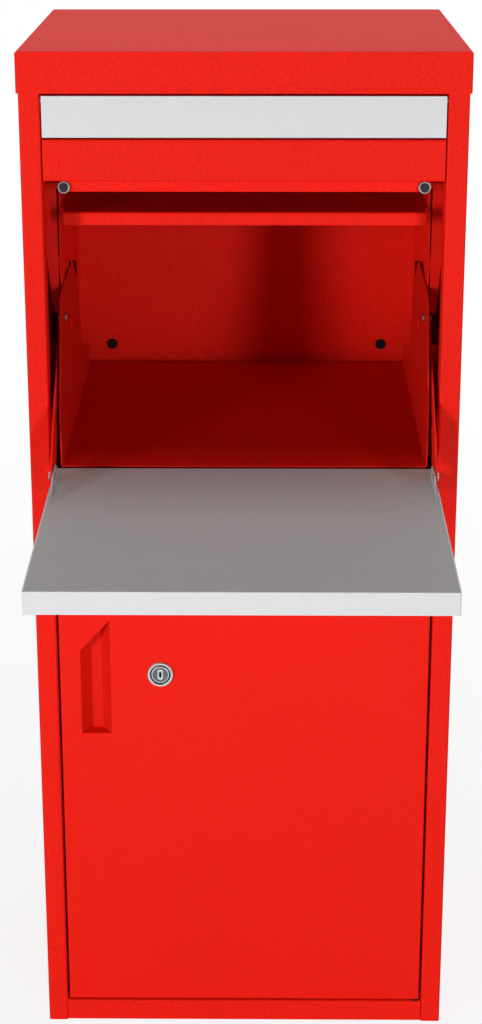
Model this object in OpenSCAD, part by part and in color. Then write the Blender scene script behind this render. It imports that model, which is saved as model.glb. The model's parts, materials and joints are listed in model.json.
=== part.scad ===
// Free-standing parcel and letter box: sheet-steel cabinet, letter flap, drop-down parcel flap
// that tips an inner tray through two arms, and a locked lower door.
// Z is up, the front faces -Y, the origin is the centre of the base on the floor.

/* [Cabinet] */
// Width over the side panels
body_width = 380; // [300:1:500]
// Depth from the front faces to the back of the back panel
body_depth = 320; // [260:1:450]
// Height to the top of the lid
total_height = 938; // [800:1:1200]
// Sheet thickness of the cabinet
sheet = 1.5; // [1:0.1:2]
// Width of each front stile
stile_width = 18.4; // [14:0.1:30]
// Depth of the stile's return flange
return_depth = 20; // [14:0.5:30]
// Outside radius of the folded edges
fold_r = 2.2; // [1.6:0.1:4]
// Radius of the anchor holes in the base
anchor_r = 5.5; // [3:0.1:8]
// Anchor hole spacing across the box
anchor_x = 280; // [150:1:320]
// Anchor hole spacing front to back
anchor_y = 200; // [120:1:260]
// Height of the two plugged holes above the flap's hinge
plug_up = 36.8; // [20:0.1:80]
// Distance of the plugged holes from the body's sides
plug_in = 51; // [30:1:120]

/* [Lid] */
// Height of the lid's skirt
lid_height = 35; // [20:1:60]
// How far the lid stands in front of the body
lid_front = 3; // [2:0.1:8]

/* [Letter slot] */
// Gap between the lid and the letter flap
letter_gap = 2.4; // [1:0.1:6]
// Height of the letter flap
letter_height = 35.2; // [25:0.1:50]
// Gap between the letter flap and the rail
rail_gap = 1.4; // [0.8:0.1:3]
// Height of the rail under the letter flap
rail_height = 36.1; // [24:0.1:50]
// Height of the recessed strip under the rail
strip_height = 13.1; // [11:0.1:20]
// Depth of the recessed strip behind the front
strip_y = 22; // [19:0.1:30]
// Top of the letter shelf, below the rail
shelf_drop = 34.4; // [30:0.1:50]
// Lip of the letter shelf, behind the front
shelf_y = 38; // [30:0.5:60]
// Height of the shelf's lip
shelf_lip = 11.5; // [6:0.5:20]
// Radius of the letter flap's rod
rod_r = 2; // [1.5:0.1:3]

/* [Parcel flap and tray] */
// Droop of the open flap in degrees
droop = 1.84; // [0:0.01:5]
// Thickness of the flap
flap_t = 18.4; // [12:0.1:25]
// How far the flap's outer sheet stands in front of the stiles when shut
flap_proud = 1.4; // [1.2:0.1:3]
// Gap beside the flap
flap_gap = 2.75; // [1.5:0.05:6]
// Gap over the shut flap
flap_top_gap = 1.5; // [0.8:0.1:4]
// Distance from the flap's hinge to its front edge
flap_reach = 267.2; // [200:0.1:300]
// Sheet thickness of the flap, tray and arms
thin = 1.2; // [0.8:0.1:1.5]
// Hinge to arm pin, front to back
crank_y = 51.2; // [40:0.1:60]
// Hinge to arm pin, up
crank_z = 18.6; // [12:0.1:24]
// Flap hinge to tray pivot, front to back
pivot_dy = 114.2; // [100:0.1:130]
// Flap hinge to tray pivot, up
pivot_dz = 111.8; // [100:0.1:130]
// Half the width of each arm
arm_wide = 8; // [6:0.1:9]
// Radius of the linkage pins
pin_r = 3; // [2:0.1:5]
// Running clearance of a pin in its hole
run_gap = 0.05; // [0.02:0.01:0.1]
// Gap between the tray's side and the stile's inner edge
tray_gap = 8.1; // [7.5:0.1:12]
// Length of the tray's floor
tray_length = 299; // [250:1:310]
// Height of the tray's sides
tray_side = 151; // [100:1:160]
// Height of the tray's sides at the rear
tray_rear = 22; // [10:1:60]
// Tray pivot to the cheek's front edge
cheek_front = 65.4; // [56:0.1:80]
// Tray pivot to the cheek's rear edge
cheek_rear = 111.6; // [90:0.1:130]
// Tray pivot to the cheek's lower edge
cheek_low = 52; // [30:0.1:70]

/* [Door] */
// Height of the rail under the door
base_rail = 22; // [16:0.1:60]
// Height of the sill over the door
sill_height = 16.5; // [10:0.1:30]
// Flap hinge to the sill's upper edge
sill_drop = 13.2; // [11:0.1:30]
// Gap beside the door
door_side_gap = 2.1; // [1.5:0.1:4]
// Gap under the door
door_low_gap = 2; // [1:0.1:4]
// Gap over the door
door_top_gap = 1.5; // [1:0.1:4]
// Depth of the door's folded edges
door_edge = 16; // [10:0.5:18]
// Lock to the door's free edge
lock_in = 92.5; // [70:0.1:120]
// Lock to the door's upper edge
lock_down = 158.2; // [90:0.1:260]
// Radius of the lock's face ring
lock_r = 12.4; // [9:0.1:16]
// Length of the lock's body behind the door's face
lock_len = 18; // [14:0.1:24]
// Door's free edge to the pull recess
pull_in = 19.1; // [12:0.1:40]
// Width of the pull recess
pull_width = 27.6; // [22:0.1:40]
// Depth of the pull recess
pull_depth = 12; // [6:0.5:18]

/* [Hidden] */
$fn = 48;
half_w = body_width / 2;
stile_in = half_w - stile_width;
ret_out = stile_in + sheet;
body_top = total_height - sheet;
back_in = body_depth - sheet;
eps = 0.01;
letter_z1 = total_height - lid_height - letter_gap;
letter_z0 = letter_z1 - letter_height;
rail_z1 = letter_z0 - rail_gap;
rail_z0 = rail_z1 - rail_height;
strip_z0 = rail_z0 - strip_height;
shelf_z = rail_z0 - shelf_drop;
hinge_z = rail_z0 - flap_top_gap - flap_reach;
sill_z1 = hinge_z - sill_drop;
sill_z0 = sill_z1 - sill_height;
door_z1 = sill_z0 - door_top_gap;
door_z0 = base_rail + door_low_gap;
door_half = stile_in - door_side_gap;
lock_x = lock_in - door_half;
lock_z = door_z1 - lock_down;
plug_x = half_w - plug_in;
plug_z = hinge_z + plug_up;
hinge_y = flap_t / 2;
pin_y = hinge_y - crank_y;
pin_z = hinge_z + crank_z;
pivot_y = hinge_y + pivot_dy;
pivot_z = hinge_z + pivot_dz;
link_y = pin_y + pivot_dy;
link_z = pin_z + pivot_dz;
crank = sqrt(crank_y * crank_y + crank_z * crank_z);
swing = 90 + droop;
open_angle = 180 - atan(crank_z / crank_y);
shut_angle = open_angle - swing;
tray_half = stile_in - tray_gap;
cheek_in = tray_half + 0.5;
cheek_out = cheek_in + thin;
arm_in = cheek_out + 0.5;
arm_out = arm_in + sheet;
flap_half = stile_in - flap_gap;
tray_y0 = hinge_y - 1.2;
tray_z0 = hinge_z + hinge_y;
cheek_y0 = pivot_y - cheek_front;
cheek_y1 = pivot_y + cheek_rear;
cheek_z1 = rail_z0 - 11.9;
cheek_flange_z = pivot_z + 1.425 * crank_z;
rod_y = 2 * rod_r + 0.6;
rod_z = letter_z1 - 2 * rod_r - 0.4;
bump_x = stile_in - 16.3;
bump_z = rail_z0 - 8.9;
door_pin_x = door_half - 3.8;
door_pin_y = 4.2;
door_pin_r = 2;
plug_r = 7.1;

// Helpers

module at_front() {
  translate([0, -body_depth / 2, 0]) children();
}

module along_x(x0, x1) {
  translate([x0, 0, 0]) rotate([90, 0, 90]) linear_extrude(x1 - x0) children();
}

module along_y(y0, y1) {
  translate([0, y1, 0]) rotate([90, 0, 0]) linear_extrude(y1 - y0) children();
}

module along_z(z0, z1) {
  translate([0, 0, z0]) linear_extrude(z1 - z0) children();
}

module box(a, b) {
  translate(a) cube(b - a);
}

module rrect(x0, y0, x1, y1, r) {
  translate([x0 + r, y0]) square([x1 - x0 - 2 * r, y1 - y0]);
  translate([x0, y0 + r]) square([x1 - x0, y1 - y0 - 2 * r]);
  for (x = [x0 + r, x1 - r], y = [y0 + r, y1 - r]) translate([x, y]) circle(r);
}

module rod(x0, x1, y, z, r) {
  translate([x0, y, z]) rotate([0, 90, 0]) cylinder(h = x1 - x0, r = r);
}

module post(x, y, z0, z1, r) {
  translate([x, y, z0]) cylinder(h = z1 - z0, r = r);
}

module barrel(x, z, y0, y1, r) {
  translate([x, y1, z]) rotate([90, 0, 0]) cylinder(h = y1 - y0, r = r);
}

module both_sides() {
  children();
  mirror([1, 0, 0]) children();
}

function arc(c, r, a0, a1, n) = [for (i = [0 : n]) let (a = a0 + (a1 - a0) * i / n)
  [c[0] + r * cos(a), c[1] + r * sin(a)]];

function heading(p, q) = atan2(q[1] - p[1], q[0] - p[0]);

function capsule(p, q, w) = let (a = heading(p, q)) concat(arc(p, w, a + 90, a + 270, 16),
  arc(q, w, a - 90, a + 90, 16));

// Cabinet

module side_profile() {
  difference() {
    rrect(-half_w, 0, -stile_in, back_in, fold_r);
    rrect(-half_w + sheet, sheet, -ret_out, back_in - sheet, fold_r - sheet);
    translate([-ret_out - eps, return_depth]) square([sheet + 1, body_depth]);
  }
}

module side_shell() {
  difference() {
    along_z(0, body_top) side_profile();
    box([-ret_out - eps, sheet, -1], [-stile_in + 1, return_depth + 1, sheet]);
    rod(-ret_out - 1, -stile_in + 1, hinge_y, hinge_z, pin_r);
    rod(-ret_out - 1, -stile_in + 1, rod_y, rod_z, rod_r);
  }
}

module side_panel_left() {
  color([0.93, 0.14, 0.11]) at_front() side_shell();
}

module side_panel_right() {
  color([0.93, 0.14, 0.11]) at_front() mirror([1, 0, 0]) side_shell();
}

module back_panel() {
  color([0.93, 0.14, 0.11]) at_front() difference() {
    box([-half_w, back_in, 0], [half_w, body_depth, body_top]);
    for (s = [-1, 1]) barrel(s * plug_x, plug_z, back_in - 1, body_depth + 1, 4);
  }
}

module lid_cap() {
  lid_half = half_w + sheet;
  lid_back = body_depth + sheet;
  lid_r = 2.5;
  z0 = total_height - lid_height;
  color([0.93, 0.14, 0.11]) at_front() difference() {
    intersection() {
      along_z(z0, total_height) rrect(-lid_half, -lid_front, lid_half, lid_back, lid_r);
      along_x(-lid_half, lid_half) rrect(-lid_front, z0 - 10, lid_back, total_height, lid_r);
      along_y(-lid_front, lid_back) rrect(-lid_half, z0 - 10, lid_half, total_height, lid_r);
    }
    box([-half_w, sheet - lid_front, z0 - 1], [half_w, body_depth, body_top]);
  }
}

module base_pan() {
  up = 20;
  color([0.93, 0.14, 0.11]) at_front() difference() {
    union() {
      along_x(-stile_in, stile_in - 0.4) difference() {
        rrect(0, 0, 60, base_rail, fold_r);
        rrect(sheet, sheet, 70, base_rail - sheet, fold_r - sheet);
        translate([return_depth, base_rail / 2]) square([60, base_rail]);
        translate([30, -1]) square([60, base_rail]);
      }
      box([-half_w + sheet, sheet, 0], [half_w - sheet, back_in - sheet, sheet]);
      both_sides() box([half_w - 2 * sheet, return_depth + 2, 0],
        [half_w - sheet, back_in - sheet, up]);
      box([-half_w + sheet, back_in - 2 * sheet, 0], [half_w - sheet, back_in - sheet, up]);
    }
    for (x = [-1, 1], y = [-1, 1])
      post(x * anchor_x / 2, body_depth / 2 + y * anchor_y / 2, -1, sheet + 1, anchor_r);
    post(door_pin_x, door_pin_y, base_rail - sheet - 1, base_rail + 1, door_pin_r);
  }
}

module letter_rail() {
  rail_half = stile_in - 0.8;
  strip_half = stile_in - 11.6;
  color([0.93, 0.14, 0.11]) at_front() union() {
    along_x(-rail_half, rail_half) difference() {
      rrect(0, rail_z0, 60, rail_z1, fold_r);
      rrect(sheet, rail_z0 + sheet, 70, rail_z1 - sheet, fold_r - sheet);
      translate([return_depth, rail_z0 + 10]) square([60, 60]);
      translate([strip_y + sheet, rail_z0 - 10]) square([60, 60]);
    }
    along_x(-strip_half, strip_half) translate([strip_y, strip_z0])
      square([sheet, rail_z0 + sheet - strip_z0]);
    along_x(-strip_half, strip_half) translate([strip_y, strip_z0]) square([6, sheet]);
    both_sides() box([rail_half - sheet, 4, rail_z0 + eps], [stile_in, return_depth - 1, rail_z1 - eps]);
  }
}

module letter_shelf() {
  lip_half = cheek_in - 5;
  y1 = cheek_y1 - 5;
  wing_y = cheek_y0 + 2;
  wing = cheek_in;
  color([0.93, 0.14, 0.11]) at_front() union() {
    intersection() {
      along_x(-lip_half, lip_half) difference() {
        rrect(shelf_y, shelf_z - 40, y1 + 40, shelf_z, fold_r);
        rrect(shelf_y + sheet, shelf_z - 60, y1 + 60, shelf_z - sheet, fold_r - sheet);
        translate([y1, shelf_z - 60]) square([80, 80]);
      }
      along_y(0, body_depth) rrect(-lip_half, shelf_z - shelf_lip, lip_half, shelf_z + 10, 4);
    }
    box([-wing, wing_y, shelf_z - sheet], [wing, y1, shelf_z]);
    both_sides() box([wing - sheet, wing_y, shelf_z - sheet], [wing, y1, shelf_z + 14]);
  }
}

module link_slot() {
  w = pin_r + 0.6;
  c = [pivot_y, pivot_z];
  polygon(concat(arc(c, crank + w, open_angle, shut_angle, 24),
    arc(c, crank - w, shut_angle, open_angle, 24)));
  translate([link_y, link_z]) circle(w);
  translate([pivot_y + crank * cos(shut_angle), pivot_z + crank * sin(shut_angle)]) circle(w);
}

module cheek_opening() {
  high = 0.48 * crank_z;
  from = [pivot_y + 0.4 * cheek_rear, pivot_z + 2.15 * crank_z];
  to = [pivot_y + 0.8 * cheek_rear, pivot_z + 1.55 * crank_z];
  polygon(capsule(from, to, high));
}

module cheek() {
  wall = half_w - sheet;
  rear_z = pivot_z - cheek_low;
  union() {
    along_x(-cheek_out, -cheek_in) difference() {
      polygon([[cheek_y0, cheek_z1], [cheek_y1, cheek_z1], [cheek_y1, rear_z],
        [pivot_y + 0.6 * cheek_rear, rear_z], [pivot_y - 0.2 * cheek_front, pivot_z - 0.6 * cheek_low],
        [cheek_y0, pivot_z - 0.06 * cheek_low]]);
      link_slot();
      cheek_opening();
      translate([pivot_y, pivot_z]) circle(pin_r);
    }
    along_y(cheek_y0, cheek_y0 + thin) polygon([[-cheek_in, cheek_flange_z],
      [-stile_in + 0.3, cheek_flange_z], [-stile_in - 5.5, cheek_flange_z + 0.6 * cheek_rear],
      [-stile_in - 5.5, cheek_z1], [-cheek_in, cheek_z1]]);
    box([-wall, cheek_y0, cheek_z1 - thin], [-cheek_in, cheek_y1, cheek_z1]);
    box([-wall, cheek_y1 - thin, rear_z], [-cheek_in, cheek_y1, cheek_z1]);
  }
}

module cheek_left() {
  color([0.93, 0.14, 0.11]) at_front() cheek();
}

module cheek_right() {
  color([0.93, 0.14, 0.11]) at_front() mirror([1, 0, 0]) cheek();
}

module sill_rail() {
  color([0.93, 0.14, 0.11]) at_front() difference() {
    along_x(-stile_in, stile_in) difference() {
      rrect(0, sill_z0, 2 * return_depth, sill_z1, fold_r);
      rrect(sheet, sill_z0 + sheet, 3 * return_depth, sill_z1 - sheet, fold_r - sheet);
      translate([return_depth - 2, sill_z0 - 10]) square([60, 60]);
    }
    post(door_pin_x, door_pin_y, sill_z0 - 1, sill_z0 + sheet + 1, door_pin_r);
  }
}

module bumper_cups() {
  color([0.7, 0.7, 0.72]) at_front() for (s = [-1, 1]) difference() {
    barrel(s * bump_x, bump_z, strip_y - 2.6, strip_y, 5.3);
    barrel(s * bump_x, bump_z, strip_y - 3, strip_y - 0.6, 4);
  }
}

module bumper_pads() {
  color([0.06, 0.06, 0.06]) at_front() for (s = [-1, 1]) translate([s * bump_x, strip_y - 0.6, bump_z])
    rotate([90, 0, 0]) rotate_extrude() polygon([[0, 0], [4, 0], [4, 1.9], [3.2, 2.5], [0, 2.7]]);
}

module tray_bolts() {
  color([0.55, 0.1, 0.08]) at_front() both_sides() union() {
    rod(-cheek_out - 2.4, -cheek_out, pivot_y, pivot_z, 5.5);
    rod(-cheek_out, -tray_half + thin + 0.2, pivot_y, pivot_z, pin_r);
    rod(-cheek_in, -tray_half - 0.1, pivot_y, pivot_z, 6);
    rod(-tray_half + thin + 0.1, -tray_half + thin + 1.3, pivot_y, pivot_z, 4.8);
  }
}

module flap_hinge_studs() {
  color([0.7, 0.7, 0.72]) at_front() both_sides() union() {
    rod(-ret_out, -flap_half + thin - 1.2 + 2.6, hinge_y, hinge_z, pin_r);
    rod(-ret_out - 1.8, -ret_out, hinge_y, hinge_z, 5);
  }
}

module flap_washers() {
  color([0.1, 0.1, 0.1]) at_front() both_sides() difference() {
    rod(-stile_in, -flap_half - 0.15, hinge_y, hinge_z, 5.5);
    rod(-stile_in - 1, -flap_half + 1, hinge_y, hinge_z, pin_r);
  }
}

module door_hinge_pins() {
  color([0.7, 0.7, 0.72]) at_front() union() {
    post(door_pin_x, door_pin_y, base_rail - sheet, door_z0 + 4, door_pin_r);
    post(door_pin_x, door_pin_y, door_z1 - 5, sill_z0 + sheet, door_pin_r);
  }
}

module door_washer() {
  color([0.1, 0.1, 0.1]) at_front() difference() {
    post(door_pin_x, door_pin_y, base_rail, door_z0 - 0.05, 3.8);
    post(door_pin_x, door_pin_y, base_rail - 1, door_z0 + 1, door_pin_r);
  }
}

module blanking_plugs() {
  color([0.06, 0.06, 0.06]) at_front() for (s = [-1, 1]) union() {
    barrel(s * plug_x, plug_z, back_in - 1.8, back_in, 5.2);
    barrel(s * plug_x, plug_z, back_in, body_depth, 4);
  }
}

// Letter flap

module letter_rod() {
  color([0.7, 0.7, 0.72]) at_front() rod(-ret_out - 1.2, ret_out + 1.2, rod_y, rod_z, rod_r);
}

module letter_flap() {
  plate_half = stile_in - 1;
  knuckle = 3.6;
  color([0.85, 0.85, 0.86]) at_front() difference() {
    union() {
      box([-plate_half, 0, letter_z0], [plate_half, thin, letter_z1]);
      both_sides() rod(2.6 - plate_half, 42.6 - plate_half, rod_y, rod_z, knuckle);
    }
    both_sides() rod(1.6 - plate_half, 43.6 - plate_half, rod_y, rod_z, rod_r + 0.06);
  }
}

// Parcel flap, drawn level about its hinge and then drooped

module flap_place() {
  at_front() translate([0, hinge_y, hinge_z]) rotate([droop, 0, 0]) children();
}

module flap_side_outline() {
  rear = 7.5;
  face = hinge_y + flap_proud;
  polygon(concat([[-flap_reach, -face], [rear, -face], [rear, thin - face], [0, thin - face]],
    arc([0, 0], hinge_y, -90, 90, 24), [[-flap_reach, hinge_y]]));
}

module flap_outer_pan() {
  rear = 7.5;
  face = hinge_y + flap_proud;
  color([0.85, 0.85, 0.86]) flap_place() difference() {
    intersection() {
      along_x(-flap_half, flap_half) flap_side_outline();
      along_z(-face - 1, hinge_y + 1) rrect(-flap_half, -flap_reach, flap_half, 40, 1.4);
      along_x(-flap_half, flap_half) rrect(-flap_reach, -face, 40, hinge_y + 20, 1.4);
    }
    box([-flap_half + thin, -flap_reach + thin, thin - face],
      [flap_half - thin, rear + 5, hinge_y + 1]);
    rod(-flap_half - 1, flap_half + 1, 0, 0, pin_r + run_gap);
  }
}

module flap_ear_outline() {
  foot = hinge_y - thin;
  top = 1.345 * crank_z;
  polygon([[-1.83 * crank_y, foot], [-1.26 * crank_y, top - 1], [-1.2 * crank_y, top],
    [-0.723 * crank_y, top], [-0.664 * crank_y, top - 2], [-0.566 * crank_y, foot]]);
}

module flap_inner_skin() {
  rear_wall = 3.8;
  pin_u = crank_y * cos(droop) - crank_z * sin(droop);
  pin_w = crank_y * sin(droop) + crank_z * cos(droop);
  color([0.62, 0.62, 0.63]) flap_place() difference() {
    union() {
      box([-flap_half + thin, -flap_reach + thin, hinge_y - thin],
        [flap_half - thin, -rear_wall, hinge_y]);
      box([-flap_half + thin, -rear_wall - thin, thin - hinge_y - flap_proud],
        [flap_half - thin, -rear_wall, hinge_y]);
      both_sides() along_x(-cheek_out, -cheek_in) flap_ear_outline();
    }
    rod(-flap_half, flap_half, -pin_u, pin_w, pin_r);
  }
}

module flap_arm_pins() {
  color([0.8, 0.8, 0.82]) at_front() both_sides() union() {
    rod(-arm_out - 1.7, -cheek_in, pin_y, pin_z, pin_r);
    rod(-arm_out - 1.7, -arm_out - 0.2, pin_y, pin_z, 4.4);
  }
}

// Tray

module tray_outline() {
  top_r = 0.1 * tray_side;
  back_r = 0.2 * tray_side;
  front_up = 0.371 * tray_side;
  knee = [0.11 * tray_length, tray_side - 0.86 * top_r];
  polygon(concat([[0, 0], [0, front_up], knee],
    arc([knee[0] + 0.93 * top_r, tray_side - top_r], top_r, 157, 90, 8),
    arc([0.468 * tray_length, tray_side - back_r], back_r, 90, 58, 6),
    [[0.659 * tray_length, tray_side - 1.2 * back_r], [0.75 * tray_length, 2 * tray_rear],
      [tray_length - 2, tray_rear], [tray_length, tray_rear - 2], [tray_length, 0]]));
}

module tray_pan() {
  tall = tray_side + 20;
  color([0.93, 0.14, 0.11]) at_front() difference() {
    translate([0, tray_y0, tray_z0]) rotate([droop, 0, 0]) intersection() {
      along_y(0, tray_length) difference() {
        rrect(-tray_half, 0, tray_half, tall + 20, 2.4);
        rrect(-tray_half + thin, thin, tray_half - thin, tall + 40, 1.2);
      }
      along_x(-tray_half, tray_half) tray_outline();
    }
    rod(-tray_half - 1, tray_half + 1, pivot_y, pivot_z, pin_r + run_gap);
    rod(-tray_half - 1, tray_half + 1, link_y, link_z, pin_r);
  }
}

module tray_arm_pins() {
  color([0.8, 0.8, 0.82]) at_front() both_sides() union() {
    rod(-arm_out - 1.7, -tray_half + thin, link_y, link_z, pin_r);
    rod(-arm_out - 1.7, -arm_out - 0.2, link_y, link_z, 4.4);
    rod(-tray_half + thin, -tray_half + thin + 1.3, link_y, link_z, 4.2);
  }
}

// Arms

module arm() {
  wide = arm_wide;
  p = [pin_y, pin_z];
  k = p + [0.39 * crank_y, 1.505 * crank_z];
  f = p + [0.742 * crank_y, 1.505 * crank_z];
  g = p + [0.508 * crank_y, 0.323 * crank_z];
  q = [link_y, link_z];
  leg = heading(k, q);
  foot = heading(p, k);
  sole = heading(p, g);
  heel = heading(g, f);
  along_x(-arm_out, -arm_in) difference() {
    polygon(concat(arc(q, wide, leg - 90, leg + 90, 16), arc(k, wide, leg + 90, foot + 90, 3),
      arc(p, wide, foot + 90, sole + 270, 14), arc(g, wide, sole - 90, heel - 90, 5),
      arc(f, wide, heel - 90, 60, 8),
      [k + 4.5 * wide * [cos(leg), sin(leg)] + wide * [sin(leg), -cos(leg)]]));
    translate(p) circle(pin_r + run_gap);
    translate(q) circle(pin_r + run_gap);
  }
}

module arm_left() {
  color([0.93, 0.14, 0.11]) at_front() arm();
}

module arm_right() {
  color([0.93, 0.14, 0.11]) at_front() mirror([1, 0, 0]) arm();
}

// Door

pull_out = [pull_in - door_half, pull_in + pull_width - door_half];
pull_z = [lock_z - 60.3, lock_z + 23.2, lock_z + 53.2];

module pull_outline(g) {
  polygon([[pull_out[0] - g, pull_z[0] - g], [pull_out[1] + g, pull_z[0] - g],
    [pull_out[1] + g, pull_z[2] + 2 * g], [pull_out[0] - g, pull_z[1] + g]]);
}

module pull_section(g) {
  polygon([[pull_out[0] - g, -1], [pull_out[0] - g, thin], [pull_out[0] + 8.4 - g, pull_depth + g],
    [pull_out[1] - 9 + g, pull_depth + g], [pull_out[1] + g, thin], [pull_out[1] + g, -1]]);
}

module door_panel() {
  edge_r = 2;
  color([0.93, 0.14, 0.11]) at_front() difference() {
    intersection() {
      along_z(door_z0, door_z1) rrect(-door_half, 0, door_half, door_edge + 9, edge_r);
      along_x(-door_half, door_half) rrect(0, door_z0, door_edge + 9, door_z1, edge_r);
      box([-door_half, 0, door_z0], [door_half, door_edge, door_z1]);
    }
    box([-door_half + thin, thin, door_z0 + thin], [door_half - thin, door_edge + 1, door_z1 - thin]);
    along_y(-1, thin + 1) pull_outline(0);
    barrel(lock_x, lock_z, -1, thin + 1, 9.5);
    post(door_pin_x, door_pin_y, door_z0 - 1, door_z0 + thin + 1, door_pin_r + run_gap);
    post(door_pin_x, door_pin_y, door_z1 - thin - 1, door_z1 + 1, door_pin_r + run_gap);
  }
}

module door_pull_cup() {
  rim = 5;
  color([0.93, 0.14, 0.11]) at_front() difference() {
    union() {
      intersection() {
        along_z(pull_z[0] - thin, pull_z[2] + 3 * thin) pull_section(thin);
        along_y(thin, pull_depth + thin) pull_outline(thin);
      }
      along_y(thin, 2 * thin) pull_outline(rim);
    }
    intersection() {
      along_z(pull_z[0], pull_z[2]) pull_section(0);
      along_y(-1, pull_depth) pull_outline(0);
    }
  }
}

// Lock

module lock_body() {
  core = plug_r + run_gap;
  color([0.8, 0.8, 0.82]) at_front() difference() {
    translate([lock_x, 0, lock_z]) rotate([90, 0, 0]) rotate_extrude()
      polygon([[0, -lock_len], [9.5, -lock_len], [9.5, 0], [lock_r, 0], [lock_r, 1],
        [lock_r - 0.9, 2.4], [9.9, 2.4], [9.4, 1.9], [9.4, 0.4], [8.4, 0.4], [8.4, 1.7], [8, 2.1],
        [0, 2.1]]);
    barrel(lock_x, lock_z, -5, lock_len + 2, core);
  }
}

module lock_nut() {
  color([0.7, 0.7, 0.72]) at_front() difference() {
    translate([lock_x, thin + 3.2, lock_z]) rotate([90, 0, 0]) linear_extrude(3.2)
      circle(r = 13.5, $fn = 6);
    barrel(lock_x, lock_z, 0, 8, 9.5);
  }
}

module lock_plug() {
  color([0.75, 0.75, 0.77]) at_front() difference() {
    union() {
      barrel(lock_x, lock_z, -1.5, lock_len + 0.2, plug_r);
      barrel(lock_x, lock_z, lock_len + 0.2, lock_len + 6, 4);
    }
    along_y(-3, -0.9) polygon(capsule([lock_x, lock_z - 1.7], [lock_x, lock_z + 1.7], 1.8));
    box([lock_x - 0.5, -3, lock_z - 2.6], [lock_x + 0.5, 6, lock_z + 2.6]);
    barrel(lock_x, lock_z, -3, 6, 0.95);
    barrel(lock_x, lock_z, lock_len - 2, lock_len + 7, 1.5);
  }
}

module lock_cam() {
  reach = stile_in + lock_x + 6.4;
  cam_y = lock_len + 3.6;
  color([0.7, 0.7, 0.72]) at_front() along_y(cam_y, cam_y + 2) difference() {
    polygon(capsule([lock_x, lock_z], [lock_x, lock_z - reach + 8], 8));
    translate([lock_x, lock_z]) circle(4);
  }
}

module cam_screw() {
  color([0.7, 0.7, 0.72]) at_front() union() {
    barrel(lock_x, lock_z, lock_len - 1.5, lock_len + 6, 1.5);
    barrel(lock_x, lock_z, lock_len + 6, lock_len + 8.2, 5);
  }
}

side_panel_left();
side_panel_right();
back_panel();
lid_cap();
base_pan();
letter_rail();
letter_shelf();
cheek_left();
cheek_right();
sill_rail();
bumper_cups();
bumper_pads();
tray_bolts();
flap_hinge_studs();
flap_washers();
door_hinge_pins();
door_washer();
blanking_plugs();
letter_rod();
letter_flap();
flap_outer_pan();
flap_inner_skin();
flap_arm_pins();
tray_pan();
tray_arm_pins();
arm_left();
arm_right();
door_panel();
door_pull_cup();
lock_body();
lock_nut();
lock_plug();
lock_cam();
cam_screw();
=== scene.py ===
"""Looks of the parcel box: powder-coated sheet steel, plated fasteners, rubber bumpers, a plain white studio.
Every length is in metres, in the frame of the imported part: Z up, the front towards -Y."""

import json
import math

import bpy
from mathutils import Matrix, Vector


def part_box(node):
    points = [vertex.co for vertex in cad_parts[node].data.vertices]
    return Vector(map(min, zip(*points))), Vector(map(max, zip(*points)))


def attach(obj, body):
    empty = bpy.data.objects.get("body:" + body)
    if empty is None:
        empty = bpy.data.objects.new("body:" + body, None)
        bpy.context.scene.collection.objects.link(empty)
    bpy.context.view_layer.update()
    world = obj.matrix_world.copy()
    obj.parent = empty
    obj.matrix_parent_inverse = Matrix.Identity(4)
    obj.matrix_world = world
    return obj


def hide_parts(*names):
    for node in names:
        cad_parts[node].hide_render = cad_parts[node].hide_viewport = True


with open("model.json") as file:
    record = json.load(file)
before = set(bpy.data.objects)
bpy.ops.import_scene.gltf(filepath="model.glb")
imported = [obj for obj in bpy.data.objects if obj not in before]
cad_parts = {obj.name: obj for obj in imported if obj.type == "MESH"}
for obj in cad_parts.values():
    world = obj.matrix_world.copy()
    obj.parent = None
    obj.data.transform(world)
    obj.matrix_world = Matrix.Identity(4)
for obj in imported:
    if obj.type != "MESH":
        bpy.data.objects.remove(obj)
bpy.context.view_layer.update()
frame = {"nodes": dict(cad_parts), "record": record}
nodes = frame["nodes"]
record = frame["record"]

MM = 0.001

# Colours, linear, as they look under white light, except those marked below as darkened for painted shade and
# painted reflection
COAT_RED = (0.80, 0.010, 0.003)
COAT_SILVER = (0.665, 0.67, 0.68)
# The silver coat darkened as painted shade for the dimly lit inside of the flap
SILVER_PAINTED_SHADE = (0.44, 0.465, 0.47)
ZINC = (0.50, 0.51, 0.53)
DULL_ZINC = (0.24, 0.24, 0.25)
# Zinc darkened as painted reflection of the dark surroundings that the bumper cups mirror
CUP_ZINC_PAINTED_REFLECTION = (0.27, 0.28, 0.29)
CHROME = (0.66, 0.67, 0.69)
LOCK_GREY = (0.13, 0.155, 0.18)
LOCK_GROOVE = (0.015, 0.03, 0.04)
RUBBER_BLACK = (0.016, 0.018, 0.021)
PLASTIC_BLACK = (0.004, 0.004, 0.004)
# The key slot's black is painted shade for the depth of a real keyway
KEYWAY_PAINTED_SHADE = (0.004, 0.003, 0.003)
STUDIO_WHITE = (1.0, 1.0, 1.0)
PAPER_WHITE = (0.88, 0.88, 0.88)
# Share of the red left on the tray pan: darkened as painted shade for the dim inside of the box
TRAY_PAINTED_SHADE = 0.72
# Share of the red left on the pull cup: darkened as painted shade for the shade in its recess
PULL_PAINTED_SHADE = 0.85

# The dark groove round the lock's plug, as distances from its axis
GROOVE_INSIDE = 8.35 * MM
GROOVE_OUTSIDE = 9.5 * MM

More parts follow.
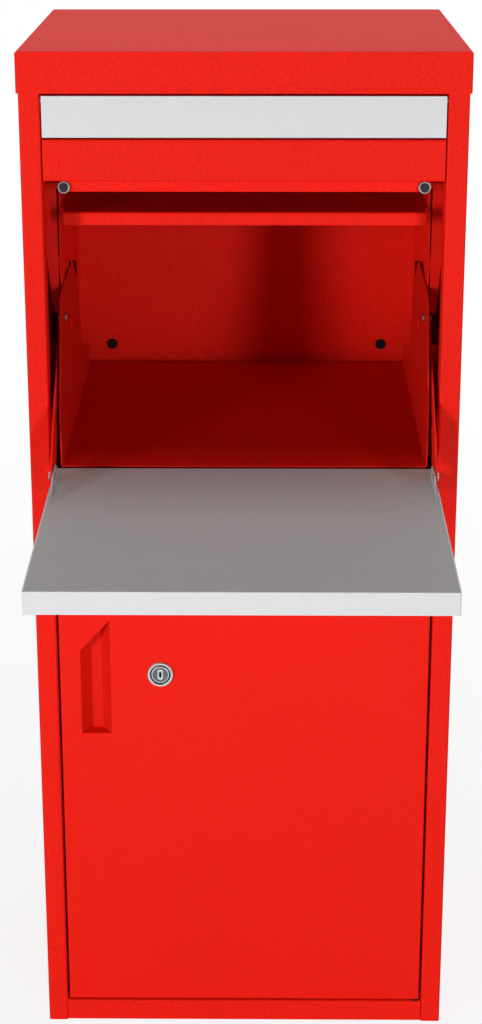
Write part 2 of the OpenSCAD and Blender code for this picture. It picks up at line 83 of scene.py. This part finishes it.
# Broken edges: the coat rounds every sheet edge, and turned parts carry a small chamfer
SHEET_EDGE = 0.4 * MM
TURNED_EDGE = 0.3 * MM
PLATE_EDGE = 0.12 * MM
EDGE_SEGMENTS = 2
EDGE_ANGLE = math.radians(40.0)
SMOOTH_ANGLE = math.radians(32.0)
FLAT_ANGLE = math.radians(0.5)
WELD = 0.004 * MM
SHEET_PIECES = ("side_panel_left", "side_panel_right", "back_panel", "lid_cap", "base_pan", "letter_rail",
                "letter_shelf", "cheek_left", "cheek_right", "sill_rail", "letter_flap", "flap_outer_pan",
                "flap_inner_skin", "tray_pan", "arm_left", "arm_right", "door_panel")
TURNED_PIECES = ("bumper_cups", "tray_bolts", "flap_hinge_studs", "flap_arm_pins", "tray_arm_pins",
                 "lock_nut", "lock_cam", "cam_screw")

# The slot between each guard plate and its front flange, and the side of the box it lies on
CHEEK_SLOTS = {"cheek_left": -1, "cheek_right": 1}
CHEEK_SLOT = 1.8 * MM
CHEEK_SLOT_DEEP = 7 * MM
CHEEK_SLOT_INTO_PLATE = 0.3 * MM
CHEEK_SLOT_BELOW_TOP = 5 * MM
CHEEK_FLANGE_FOOT = 0.700

# The polished surround of the keyway
KEYWAY_HALF_WIDTH = 2.6 * MM
KEYWAY_STRETCH = 2.7 * MM
KEYWAY_RIM = 1.5 * MM
KEYWAY_PROUD = 0.35 * MM
KEYWAY_THICK = 0.6 * MM
KEYWAY_SINK = 0.7
KEYWAY_SLOT_SQUASH = 0.75
KEYWAY_SIDES = 40

# The studio's floor and background
FLOOR_SIZE = 14.0
FLOOR_GLOW = 1.01
FLOOR_SHARE = 0.83
FLOOR_SHARE_PER_METRE = 0.08
BASE_SHADOW_HALF = (0.18, 0.15)
WORLD_FILL = 0.05
WORLD_SEEN = 1.0

# Each lamp's name, place, aim, size and watts
LAMPS = (("left_softbox", (-2.2, -2.7, 0.80), (0.0, 0.0, 0.60), (0.35, 1.3), 67.0),
         ("right_softbox", (1.65, -2.95, 0.80), (0.0, 0.0, 0.60), (0.35, 1.3), 41.0),
         ("top_softbox", (0.0, -0.1, 2.6), (0.0, -0.101, 0.9), (1.2, 0.9), 16.0),
         ("rear_softbox", (1.5, 2.3, 0.45), (0.0, 0.0, 0.45), (0.8, 0.8), 40.0))

# The camera, solved from the photograph's edges
FOCAL_PX = 1979.2
IMAGE_PX = (482, 1024)
OPTICAL_AXIS_PX = 411.0
SENSOR_WIDTH = 36.0
CAMERA_PLACE = (0.01276, -1.82093, 1.15124)
CAMERA_PITCH = math.radians(17.62)
CAMERA_YAW = math.radians(-0.53)
CAMERA_ROLL = math.radians(-0.05)
CAMERA_CLIP = (0.05, 50.0)


# Shader building

class Wire:
    """A value in a node tree: Python's operators add its Math nodes."""

    def __init__(self, board, socket):
        self.board = board
        self.socket = socket

    def math(self, operation, *values):
        return self.board.add("ShaderNodeMath", {"operation": operation}, dict(enumerate((self, *values))))

    def __add__(self, other):
        return self.math("ADD", other)

    __radd__ = __add__

    def __mul__(self, other):
        return self.math("MULTIPLY", other)

    __rmul__ = __mul__

    def __sub__(self, other):
        return self.math("SUBTRACT", other)

    def __rsub__(self, other):
        return self.math("MULTIPLY", -1.0).math("ADD", other)

    def over(self, limit):
        return self.math("GREATER_THAN", limit)

    def under(self, limit):
        return self.math("LESS_THAN", limit)

    def clamp(self, low, high):
        return self.math("MAXIMUM", low).math("MINIMUM", high)


class Board:
    """A node tree built from nothing, one node at a time."""

    def __init__(self, owner):
        owner.use_nodes = True
        self.owner = owner
        self.tree = owner.node_tree
        self.tree.nodes.clear()

    def add(self, kind, settings=None, inputs=None, output=0):
        made = self.tree.nodes.new(kind)
        for key, value in (settings or {}).items():
            setattr(made, key, value)
        for key, value in (inputs or {}).items():
            self.put(made.inputs[key], value)
        return Wire(self, made.outputs[output]) if made.outputs else made

    def put(self, socket, value):
        if isinstance(value, Wire):
            self.tree.links.new(value.socket, socket)
        elif socket.type == "RGBA" and len(value) == 3:
            socket.default_value = (*value, 1.0)
        else:
            socket.default_value = value

    def place(self):
        return self.add("ShaderNodeTexCoord", output="Object")

    def noise(self, scale, detail=2.0, roughness=0.5):
        inputs = {"Vector": self.place(), "Scale": scale, "Detail": detail, "Roughness": roughness}
        return self.add("ShaderNodeTexNoise", {}, inputs, "Fac")

    def tone(self, factor, first, second):
        return self.add("ShaderNodeMix", {"data_type": "RGBA"}, {0: factor, 6: first, 7: second}, 2)

    def bump(self, height, strength, distance):
        inputs = {"Height": height, "Strength": strength, "Distance": distance}
        return self.add("ShaderNodeBump", {}, inputs, "Normal")

    def vector(self, operation, first, second=None, output=0):
        inputs = {0: first} if second is None else {0: first, 1: second}
        return self.add("ShaderNodeVectorMath", {"operation": operation}, inputs, output)

    def rays(self, *kinds):
        """1 for a ray of one of these kinds, 0 for any other."""
        first, *others = (self.add("ShaderNodeLightPath", output=f"Is {kind} Ray") for kind in kinds)
        return sum(others, first).clamp(0.0, 1.0)

    def skin(self, **sockets):
        """A Principled shader; underscores in the names stand for spaces."""
        named = {key.replace("_", " "): value for key, value in sockets.items()}
        return self.add("ShaderNodeBsdfPrincipled", {}, named, "BSDF")

    def surface(self, shader):
        kind = "World" if isinstance(self.owner, bpy.types.World) else "Material"
        self.add("ShaderNodeOutput" + kind, {}, {"Surface": shader})
        return self.owner


def new_board(name):
    return Board(bpy.data.materials.new(name))


def dim(colour, share):
    return tuple(c * share for c in colour)


def powder_coat(name, colour, mottle, grain, gloss, shine):
    """Fine textured powder coat: pebbled bumps, a slight unevenness of colour and gloss."""
    b = new_board(name)
    pebbles = b.noise(scale=520.0, detail=3.0, roughness=0.6)
    cloud = b.noise(scale=7.0)
    shade = (pebbles * 0.85 + cloud * 0.15).clamp(0.0, 1.0)
    return b.surface(b.skin(
        Base_Color=b.tone(shade, dim(colour, 1.0 - mottle), dim(colour, 1.0 + mottle)),
        Roughness=(pebbles * 0.2 + gloss).clamp(0.05, 0.95), IOR=1.45, Specular_IOR_Level=shine,
        Normal=b.bump(pebbles, strength=0.5, distance=grain)))


def plated(name, colour, gloss, scratch):
    """Zinc or chrome plate with faint handling marks."""
    b = new_board(name)
    marks = b.noise(scale=260.0, detail=4.0, roughness=0.6)
    return b.surface(b.skin(
        Base_Color=b.tone(marks, dim(colour, 0.85), colour), Metallic=1.0,
        Roughness=(marks * scratch + gloss).clamp(0.03, 0.9),
        Normal=b.bump(marks, strength=0.1, distance=0.04 * MM)))


def moulded(name, colour, gloss, shine):
    """Black rubber or plastic with a dull skin; also the key slot's black, which is painted shade."""
    b = new_board(name)
    skin = b.noise(scale=900.0)
    return b.surface(b.skin(
        Base_Color=b.tone(skin, colour, dim(colour, 2.0)),
        Roughness=(skin * 0.15 + gloss).clamp(0.1, 1.0), Specular_IOR_Level=shine,
        Normal=b.bump(skin, strength=0.2, distance=0.05 * MM)))


def from_axis(b, x, z):
    """Distance from a line along Y through (x, z)."""
    apart = b.vector("SUBTRACT", b.place(), (x, 0.0, z))
    flat = b.vector("MULTIPLY", apart, (1.0, 0.0, 1.0))
    return b.vector("LENGTH", flat, output="Value")


def lock_face(name, x, z):
    """Chrome with a dark grey ring in the groove round the plug."""
    b = new_board(name)
    out = from_axis(b, x, z)
    groove = out.over(GROOVE_INSIDE) * out.under(GROOVE_OUTSIDE)
    marks = b.noise(scale=420.0, detail=3.0)
    plate = b.tone(marks, dim(CHROME, 0.8), CHROME)
    return b.surface(b.skin(
        Base_Color=b.tone(groove, plate, LOCK_GROOVE), Metallic=1.0,
        Roughness=(marks * 0.1 + 0.1 + groove * 0.3).clamp(0.03, 0.9)))


PEBBLED = {"mottle": 0.38, "grain": 0.26 * MM, "gloss": 0.46, "shine": 0.14}
EVEN = {"mottle": 0.17, "grain": 0.14 * MM, "gloss": 0.44, "shine": 0.14}

red_coat = powder_coat("red_powder_coat", COAT_RED, **PEBBLED)
door_coat = powder_coat("red_door_coat", COAT_RED, **EVEN)
# The tray pan's coat is the red darkened as painted shade for the dim inside of the box
tray_painted_shade_coat = powder_coat("red_tray_painted_shade", dim(COAT_RED, TRAY_PAINTED_SHADE), **PEBBLED)
# The pull cup's coat is the door's red darkened as painted shade for the shade in its recess
pull_painted_shade_coat = powder_coat("red_pull_painted_shade", dim(COAT_RED, PULL_PAINTED_SHADE), **EVEN)
silver_coat = powder_coat("silver_powder_coat", COAT_SILVER,
                          mottle=0.09, grain=0.08 * MM, gloss=0.40, shine=0.30)
# The flap's inside is the same silver, darkened as painted shade for the dimmer light on its upturned face
flap_inside_painted_shade = powder_coat("flap_inside_painted_shade_coat", SILVER_PAINTED_SHADE,
                           mottle=0.10, grain=0.08 * MM, gloss=0.42, shine=0.25)
zinc_plate = plated("zinc_plate", ZINC, gloss=0.25, scratch=0.2)
dull_zinc = plated("dull_zinc", DULL_ZINC, gloss=0.30, scratch=0.2)
# The bumper cups' zinc is darkened as painted reflection of dark surroundings
cup_zinc_painted_reflection = plated("cup_zinc_painted_reflection", CUP_ZINC_PAINTED_REFLECTION, gloss=0.16, scratch=0.2)
chrome_plate = plated("chrome_plate", CHROME, gloss=0.10, scratch=0.12)
lock_steel = plated("lock_plug_steel", LOCK_GREY, gloss=0.30, scratch=0.2)
black_rubber = moulded("black_rubber", RUBBER_BLACK, gloss=0.42, shine=0.12)
black_plastic = moulded("black_plastic", PLASTIC_BLACK, gloss=0.55, shine=0.1)
# The key slot's black is painted shade for the deep keyway that the shallow sinking leaves out
keyway_painted_shade = moulded("keyway_painted_shade", KEYWAY_PAINTED_SHADE, gloss=0.6, shine=0.05)

FINISH_OF_SLOT = {"red_coat": red_coat, "silver_coat": silver_coat, "zinc": zinc_plate,
                  "chrome": chrome_plate, "black_rubber": black_rubber, "black_plastic": black_plastic}
SLOT_OF_NODE = {row["node"]: row["material_slot"] for row in record["subparts"]}
BODY_OF_NODE = {node: body for body, held in record["behaviour"]["bodies"].items() for node in held}

lock_low, lock_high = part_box("lock_plug")
lock_x, lock_z = (lock_low.x + lock_high.x) / 2, (lock_low.z + lock_high.z) / 2
SPECIAL_FINISH = {"lock_body": lock_face("lock_face_chrome", lock_x, lock_z), "lock_plug": lock_steel,
                  "flap_inner_skin": flap_inside_painted_shade, "bumper_cups": cup_zinc_painted_reflection, "door_panel": door_coat,
                  "door_pull_cup": pull_painted_shade_coat, "tray_pan": tray_painted_shade_coat, "flap_hinge_studs": dull_zinc,
                  "tray_arm_pins": dull_zinc, "flap_arm_pins": dull_zinc}


def coat(obj, material):
    obj.data.materials.clear()
    obj.data.materials.append(material)


def finish_of(node):
    return SPECIAL_FINISH.get(node, FINISH_OF_SLOT[SLOT_OF_NODE[node]])


for node in nodes:
    coat(nodes[node], finish_of(node))


# Pieces: the nodes' own shapes with broken edges, and the cheek slots

def pick_only(obj):
    bpy.ops.object.select_all(action="DESELECT")
    obj.select_set(True)
    bpy.context.view_layer.objects.active = obj


def block(name, low, high):
    """A box from corner to corner, its place in its mesh."""
    bpy.ops.object.select_all(action="DESELECT")
    middle = (Vector(low) + Vector(high)) / 2
    bpy.ops.mesh.primitive_cube_add(size=1.0, location=middle, scale=Vector(high) - Vector(low))
    made = bpy.context.object
    made.name = name
    bpy.ops.object.transform_apply(location=True, rotation=True, scale=True)
    return made


def cut_away(piece, low, high):
    """Mill a straight slot out of a piece."""
    cutter = block("slot_cutter", low, high)
    pick_only(piece)
    slot = piece.modifiers.new("slot", "BOOLEAN")
    slot.operation = "DIFFERENCE"
    slot.solver = "EXACT"
    slot.object = cutter
    bpy.ops.object.modifier_apply(modifier=slot.name)
    bpy.data.objects.remove(cutter)


def round_off(piece, radius):
    """Round the sharp edges of a picked piece and smooth its shading."""
    rounding = piece.modifiers.new("rounded_edges", "BEVEL")
    rounding.width = radius
    rounding.segments = EDGE_SEGMENTS
    rounding.limit_method = "ANGLE"
    rounding.angle_limit = EDGE_ANGLE
    bpy.ops.object.modifier_apply(modifier=rounding.name)
    bpy.ops.object.shade_smooth_by_angle(angle=SMOOTH_ANGLE)


def broken_edges(node, radius, slot_box=None):
    """The node's own shape with its triangles joined and its sharp edges rounded off."""
    piece = bpy.data.objects.new(node + "_rounded", nodes[node].data.copy())
    bpy.context.scene.collection.objects.link(piece)
    pick_only(piece)
    bpy.ops.object.mode_set(mode="EDIT")
    bpy.ops.mesh.select_all(action="SELECT")
    bpy.ops.mesh.remove_doubles(threshold=WELD)
    bpy.ops.mesh.dissolve_limited(angle_limit=FLAT_ANGLE)
    bpy.ops.object.mode_set(mode="OBJECT")
    if slot_box:
        cut_away(piece, *slot_box)
    round_off(piece, radius)
    even = piece.modifiers.new("even_faces", "WEIGHTED_NORMAL")
    even.keep_sharp = True
    bpy.ops.object.modifier_apply(modifier=even.name)
    coat(piece, finish_of(node))
    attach(piece, BODY_OF_NODE[node])
    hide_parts(node)


def cheek_slot(node, side):
    """Two corners of the slot where a guard plate stands clear of its front flange."""
    low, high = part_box(node)
    face = min(abs(low.x), abs(high.x))
    near, far = sorted((side * (face - CHEEK_SLOT_INTO_PLATE), side * (face + CHEEK_SLOT)))
    return ((near, low.y - MM, CHEEK_FLANGE_FOOT),
            (far, low.y + CHEEK_SLOT_DEEP, high.z - CHEEK_SLOT_BELOW_TOP))


for node in SHEET_PIECES:
    slot_box = cheek_slot(node, CHEEK_SLOTS[node]) if node in CHEEK_SLOTS else None
    broken_edges(node, SHEET_EDGE, slot_box)
for node in TURNED_PIECES:
    broken_edges(node, TURNED_EDGE)


# Lock: the polished surround of the keyway

def select_facing(piece, direction, least=0.9):
    """Select only the faces that look along a direction."""
    for face in piece.data.polygons:
        face.select = face.normal.dot(Vector(direction)) > least
    for edge in piece.data.edges:
        edge.select = False
    for point in piece.data.vertices:
        point.select = False
    for face in piece.data.polygons:
        if face.select:
            for corner in face.vertices:
                piece.data.vertices[corner].select = True


def keyway_surround():
    """A capsule-shaped plate on the plug with a shallow sunk key slot, painted black as painted shade for a
    deep keyway.
    """
    front = lock_low.y - KEYWAY_PROUD
    bpy.ops.object.select_all(action="DESELECT")
    bpy.ops.mesh.primitive_cylinder_add(vertices=KEYWAY_SIDES, radius=KEYWAY_HALF_WIDTH, depth=KEYWAY_THICK,
                                        location=(lock_x, front + KEYWAY_THICK / 2, lock_z),
                                        rotation=(math.radians(90.0), 0.0, 0.0))
    plate = bpy.context.object
    plate.name = "keyway_surround"
    bpy.ops.object.transform_apply(location=True, rotation=True, scale=True)
    for way in (1, -1):
        for point in plate.data.vertices:
            point.select = (point.co.z - lock_z) * way > 0.01 * MM
        for part in (*plate.data.edges, *plate.data.polygons):
            part.select = False
        bpy.ops.object.mode_set(mode="EDIT")
        bpy.ops.mesh.select_mode(type="VERT")
        bpy.ops.transform.translate(value=(0.0, 0.0, way * KEYWAY_STRETCH))
        bpy.ops.object.mode_set(mode="OBJECT")
    select_facing(plate, (0.0, -1.0, 0.0))
    bpy.ops.object.mode_set(mode="EDIT")
    bpy.ops.mesh.select_mode(type="FACE")
    bpy.ops.mesh.inset(thickness=KEYWAY_RIM)
    bpy.ops.transform.resize(value=(1.0, 1.0, KEYWAY_SLOT_SQUASH))
    sunk = {"value": (0.0, KEYWAY_THICK * KEYWAY_SINK, 0.0)}
    bpy.ops.mesh.extrude_region_move(TRANSFORM_OT_translate=sunk)
    bpy.ops.object.mode_set(mode="OBJECT")
    coat(plate, chrome_plate)
    plate.data.materials.append(keyway_painted_shade)
    for face in plate.data.polygons:
        face.material_index = 1 if face.select else 0
    round_off(plate, PLATE_EDGE)
    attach(plate, "lock_core")


keyway_surround()


# Studio: a pale floor, a white background and four soft lamps

def studio_floor():
    """A floor that looks white, keeps the object's shadow and lies dark under the base's holes."""
    bpy.ops.object.select_all(action="DESELECT")
    bpy.ops.mesh.primitive_plane_add(size=FLOOR_SIZE, location=(0.0, 0.0, 0.0))
    floor = bpy.context.object
    floor.name = "studio_floor"
    b = new_board("pale_floor")
    away = b.vector("LENGTH", b.place(), output="Value")
    across, along = (b.add("ShaderNodeSeparateXYZ", {}, {"Vector": b.place()}, axis).math("ABSOLUTE")
                     for axis in "XY")
    under_base = across.under(BASE_SHADOW_HALF[0]) * along.under(BASE_SHADOW_HALF[1])
    share = (away * FLOOR_SHARE_PER_METRE + FLOOR_SHARE).clamp(0.0, 1.0) * (1.0 - under_base)
    matt = b.add("ShaderNodeBsdfDiffuse", {}, {"Color": PAPER_WHITE})
    glow = b.add("ShaderNodeEmission", {}, {"Color": STUDIO_WHITE, "Strength": FLOOR_GLOW})
    blend = {0: b.rays("Camera", "Glossy") * share, 1: matt, 2: glow}
    coat(floor, b.surface(b.add("ShaderNodeMixShader", {}, blend)))


def studio_world():
    """A background that looks white and lights little."""
    world = bpy.data.worlds.new("white_studio")
    bpy.context.scene.world = world
    b = Board(world)
    fill = b.add("ShaderNodeBackground", {}, {"Color": STUDIO_WHITE, "Strength": WORLD_FILL})
    back = b.add("ShaderNodeBackground", {}, {"Color": STUDIO_WHITE, "Strength": WORLD_SEEN})
    blend = {0: b.rays("Camera", "Glossy", "Transmission"), 1: fill, 2: back}
    b.surface(b.add("ShaderNodeMixShader", {}, blend))


def soft_lamp(name, place, aim, size, watts):
    data = bpy.data.lights.new(name, "AREA")
    data.shape = "RECTANGLE"
    data.size, data.size_y = size
    data.energy = watts
    lamp = bpy.data.objects.new(name, data)
    bpy.context.scene.collection.objects.link(lamp)
    lamp.location = place
    lamp.rotation_mode = "QUATERNION"
    lamp.rotation_quaternion = (Vector(aim) - Vector(place)).to_track_quat("-Z", "Y")


studio_floor()
studio_world()
for lamp_row in LAMPS:
    soft_lamp(*lamp_row)


# Camera

def photo_camera():
    data = bpy.data.cameras.new("photo_camera")
    data.sensor_fit = "AUTO"
    data.sensor_width = SENSOR_WIDTH
    data.lens = FOCAL_PX / IMAGE_PX[1] * data.sensor_width
    data.shift_y = -(IMAGE_PX[1] / 2 - OPTICAL_AXIS_PX) / IMAGE_PX[1]
    data.clip_start, data.clip_end = CAMERA_CLIP
    camera = bpy.data.objects.new("photo_camera", data)
    bpy.context.scene.collection.objects.link(camera)
    forward = Vector((math.sin(CAMERA_YAW) * math.cos(CAMERA_PITCH),
                      math.cos(CAMERA_YAW) * math.cos(CAMERA_PITCH), -math.sin(CAMERA_PITCH)))
    level = Vector((math.cos(CAMERA_YAW), -math.sin(CAMERA_YAW), 0.0))
    right = math.cos(CAMERA_ROLL) * level + math.sin(CAMERA_ROLL) * level.cross(forward)
    up = right.cross(forward)
    turn = Matrix((right, up, -forward)).transposed()
    camera.matrix_world = Matrix.Translation(CAMERA_PLACE) @ turn.to_4x4()
    bpy.context.scene.camera = camera


photo_camera()
bpy.context.scene.view_settings.view_transform = "Standard"
